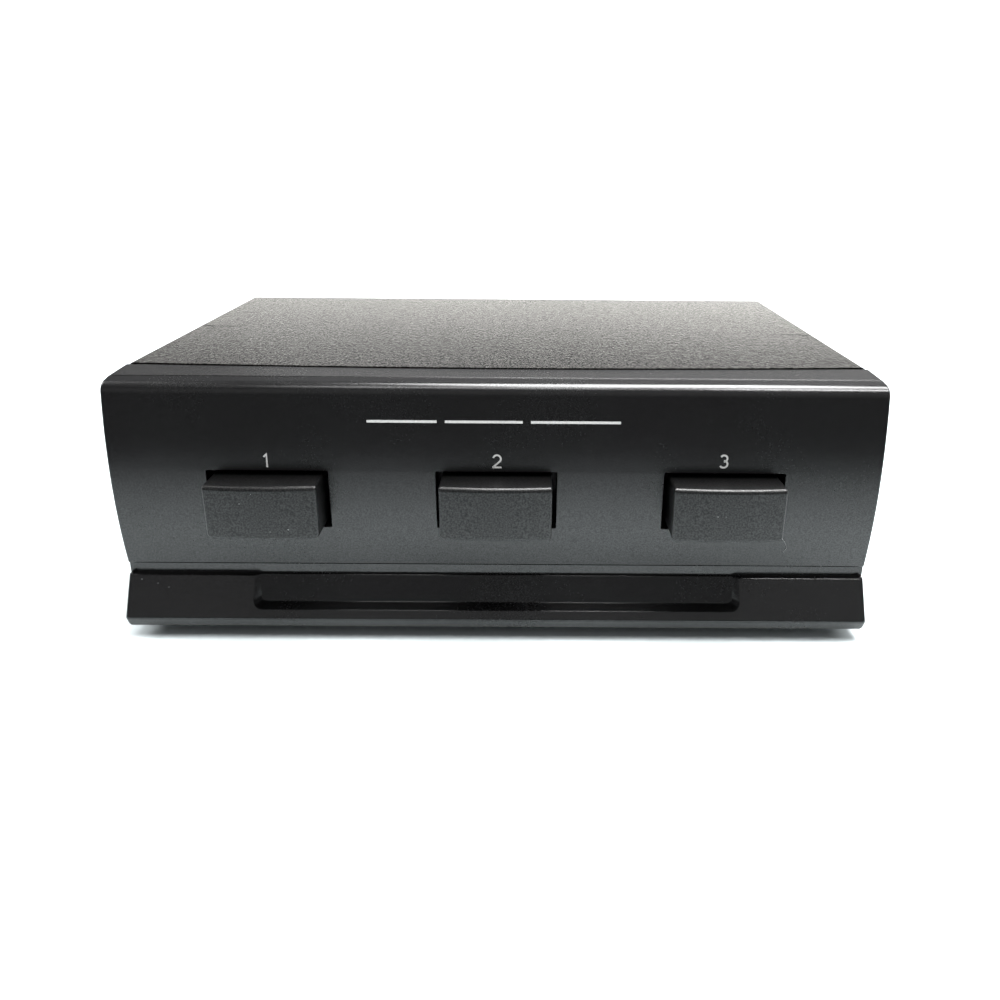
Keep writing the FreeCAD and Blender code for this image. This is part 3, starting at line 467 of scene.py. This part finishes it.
M["ink"] = ink("mark_ink", INK)
PANEL_Y = 97.35
for ch, x, z in (("1", -48.82, 41.4), ("2", 0.15, 41.5), ("3", 48.4, 41.8)):
    on_face(strokes_mesh("mark_numeral_" + ch, glyph(ch, 3.05, 0.38), 0.38), x, z)
# three plain rules above the buttons
for i, (x0, x1) in enumerate(((-27.2, -12.5), (-10.8, 5.6), (7.3, 26.2))):
    h = (x1 - x0) / 2.0
    on_face(strokes_mesh("mark_rule_%d" % (i + 1), [[(-h, 0), (h, 0)]], 0.55), (x0 + x1) / 2.0, 49.9)
# back: a number beside each output block, polarity signs over the lever rows
for ch, x, z in (("1", 64.6, 42.5), ("2", -64.6, 20.5), ("3", 64.6, 20.5)):
    on_back(strokes_mesh("back_numeral_" + ch, glyph(ch, 4.0, 0.5), 0.5), x, z)
for k, (bx, bz) in enumerate(((-33.0, 42.5), (33.0, 42.5), (-33.0, 20.5), (33.0, 20.5))):
    for i in range(4):
        on_back(strokes_mesh("back_sign_%d_%d" % (k + 1, i + 1), glyph("+-"[i % 2], 1.4, 0.28), 0.28), bx + (i - 1.5) * 9.6, bz + 7.95, 2.03)


# ---------------------------------------------------------------- lint and dust
def fleck(name, p, body, size=0.12, flat=(1.0, 0.35, 0.7), turn=0.0):
    bm = bmesh.new()
    bmesh.ops.create_icosphere(bm, subdivisions=1, radius=size * MM)
    me = bpy.data.meshes.new(name)
    bm.to_mesh(me)
    bm.free()
    ob = bpy.data.objects.new(name, me)
    bpy.context.scene.collection.objects.link(ob)
    ob.matrix_world = Matrix.Translation(Vector(p) * MM) @ Matrix.Rotation(turn, 4, "Y") @ Matrix.Diagonal((*flat, 1.0))
    me.materials.append(M["lint"])
    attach(ob, body)


def lint():
    t = Tree("lint")
    n = t.noise(0.2, 2.0, 0.5)
    c = t.ramp(n, "Fac", [(0.3, g(0.22)), (0.7, g(0.40))])
    t.color(c.outputs["Color"])
    r = t.map(n, "Fac", 0.3, 0.7, 0.8, 0.95)
    t.rough(r.outputs["Result"])
    return t.mat


M["lint"] = lint()


def button_front(x, z, c):
    return (x, -24.15 - 0.72 * (1.0 - ((x - c) / 11.8) ** 2) + Y_SHIFT - 0.03, z)


for i, (x, z, s) in enumerate(((-52.99, 34.46, 0.10), (-43.38, 28.69, 0.12), (-47.18, 28.20, 0.08), (-50.42, 36.6, 0.08))):
    fleck("lint_button_1_%d" % (i + 1), button_front(x, z, -48.93), "button_1", s, turn=0.7 * i)
for i, (x, z, s) in enumerate(((46.38, 32.25, 0.11), (48.05, 32.26, 0.08))):
    fleck("lint_button_3_%d" % (i + 1), button_front(x, z, 48.93), "button_3", s, turn=1.1 * i)
for i, (x, y, z) in enumerate(((-79.53, -16.42, 12.92), (-75.88, -16.88, 12.18), (-73.36, -17.33, 11.42))):
    fleck("lint_plinth_%d" % (i + 1), (x, y + Y_SHIFT, z), "case", 0.08, turn=0.5 * i)


def hair():
    """One short fibre lying on the face under the right-hand button."""
    cu = bpy.data.curves.new("lint_fibre", "CURVE")
    cu.dimensions = "3D"
    cu.bevel_depth = 0.035 * MM
    cu.bevel_resolution = 1
    sp = cu.splines.new("NURBS")
    pts = ((62.65, 24.18), (63.46, 23.16), (64.35, 21.62), (64.03, 20.84), (63.66, 20.31))
    sp.points.add(len(pts) - 1)
    for q, (x, z) in zip(sp.points, pts):
        y, a = face_point(z)
        q.co = (x * MM, (y - 0.05) * MM, z * MM, 1.0)
    sp.use_endpoint_u = True
    sp.order_u = 3
    ob = bpy.data.objects.new("lint_fibre", cu)
    bpy.context.scene.collection.objects.link(ob)
    cu.materials.append(M["lint"])
    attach(ob, "case")


hair()


# ---------------------------------------------------------------- floor, backdrop and lights
def paper(name, near, far):
    """Pale paper, darker and cooler near the object than on the wall, with painted shade towards its front end and on
    the wall's left half.
    """
    t = Tree(name)
    n = t.noise(2.0, 3.0, 0.6)
    sep = t.n("ShaderNodeSeparateXYZ")
    t.link(t.mm(0.001), "Vector", sep, "Vector")
    k = t.map(sep, "Y", 0.2, 1.5, 0.0, 1.0)
    base = t.mix(k.outputs["Result"], near + (1,), far + (1,))
    # painted shade: the sheet's colour darkens towards its front end, standing in for shade on the floor there; from
    # just in front of the object backwards it is brightened a little (x1.12), painted light against the object's own
    # shadow
    front = t.map(sep, "Y", -0.25, -0.08, 0.06, 1.12)
    base = t.mix(1.0, base, front.outputs["Result"], "MULTIPLY")
    # painted shade: the wall's colour is a little darker on its left half, standing in for weaker light on that side
    side = t.map(sep, "X", 0.2, 1.2, 0.78, 1.0)
    wall = t.map(sep, "Z", 0.02, 0.10, 0.0, 1.0)
    wall_painted_shade = t.mix(wall.outputs["Result"], g(1.0), side.outputs["Result"])
    base = t.mix(1.0, base, wall_painted_shade, "MULTIPLY")
    c = t.ramp(n, "Fac", [(0.3, g(0.985)), (0.7, g(1.0))])
    t.color(t.mix(1.0, base, c.outputs["Color"], "MULTIPLY"))
    t.set(Specular_IOR_Level=0.2)
    r = t.map(n, "Fac", 0.3, 0.7, 0.75, 0.85)
    t.rough(r.outputs["Result"])
    return t.mat


def cyclorama():
    """Pale sheet that starts a hand's width in front of the object and curves up into a low wall far behind it."""
    bm = bmesh.new()
    prof = [(-0.255, 0.0), (-0.2, 0.0), (0.4, 0.0), (1.6, 0.0), (3.5, 0.0)]
    for i in range(1, 9):
        a = math.radians(90.0 * i / 8)
        prof.append((3.5 + 0.5 * math.sin(a), 0.5 - 0.5 * math.cos(a)))
    rows = [[bm.verts.new((x, y, z)) for x in (-4.0, 4.0)] for y, z in prof]
    rows.append([bm.verts.new((x, 4.0, z)) for x, z in ((-4.0, WALL_TOP[0]), (4.0, WALL_TOP[1]))])
    for a, b in zip(rows, rows[1:]):
        f = bm.faces.new((a[0], a[1], b[1], b[0]))
        f.smooth = True
    me = bpy.data.meshes.new("floor")
    bm.to_mesh(me)
    bm.free()
    ob = bpy.data.objects.new("floor", me)
    bpy.context.scene.collection.objects.link(ob)
    me.materials.append(paper("paper", (0.54, 0.588, 0.598), (0.90, 0.885, 0.85)))
    return ob


cyclorama()


def area(name, loc, target, size, power, color=(1, 1, 1), turn=0.0, gloss=True):
    li = bpy.data.lights.new(name, "AREA")
    li.shape = "RECTANGLE"
    li.size, li.size_y = size
    li.energy = power
    li.color = color
    ob = bpy.data.objects.new(name, li)
    bpy.context.scene.collection.objects.link(ob)
    d = Vector(target) - Vector(loc)
    if abs(d.x) + abs(d.y) < 1e-6:
        ob.matrix_world = Matrix.Translation(Vector(loc)) @ Matrix.Rotation(math.radians(turn), 4, "Z")
    else:
        ob.matrix_world = Matrix.Translation(Vector(loc)) @ d.to_track_quat("-Z", "Y").to_matrix().to_4x4()
    ob.visible_glossy = gloss
    return ob


area("key_light", (0.1075, 0.10, 0.46), (0.1075, 0.10, 0.0), (0.325, 0.26), 0.325 * 0.26 * math.pi * KEY_L, turn=24.0)
area("edge_light", (0.20, -0.12, 0.40), (0.20, -0.12, 0.0), (0.16, 0.05), 0.16 * 0.05 * math.pi * 42.0)
area("edge_light_left", (-0.03, -0.135, 0.40), (-0.03, -0.135, 0.0), (0.20, 0.05), 0.20 * 0.05 * math.pi * 12.0)
area("front_fill", (-0.05, -0.30, 0.85), (-0.04, -0.08, 0.0), (0.9, 0.4), 0.9 * 0.4 * math.pi * 10.0, gloss=False)
area("front_card", (0.10, -0.75, 0.55), (0.0, -0.06, 0.01), (1.4, 0.45), 1.4 * 0.45 * math.pi * 0.30)
for sx in (-1, 1):
    area("side_light_%s" % ("left" if sx < 0 else "right"), (sx * 1.15, 0.45, 1.0), (sx * 0.35, 0.45, 0.0), (0.6, 0.8), 22.0 if sx < 0 else 13.0)
area("floor_washer", (0.0, 0.75, 0.9), (0.0, 2.0, 0.0), (3.0, 0.4), 45.0)
area("rear_soft_light", (0.45, 2.0, 0.95), (0.0, 0.0, 0.05), (2.6, 0.7), 2.0)
area("wall_washer", (0.0, 2.3, 1.25), (0.0, 4.0, 0.25), (4.5, 0.4), BACK_W)

w = bpy.data.worlds.new("world")
bpy.context.scene.world = w
w.use_nodes = True
bg = w.node_tree.nodes.get("Background")
bg.inputs["Color"].default_value = (0.97, 0.98, 1.0, 1)
bg.inputs["Strength"].default_value = WORLD
bpy.context.scene.view_settings.view_transform = "Standard"
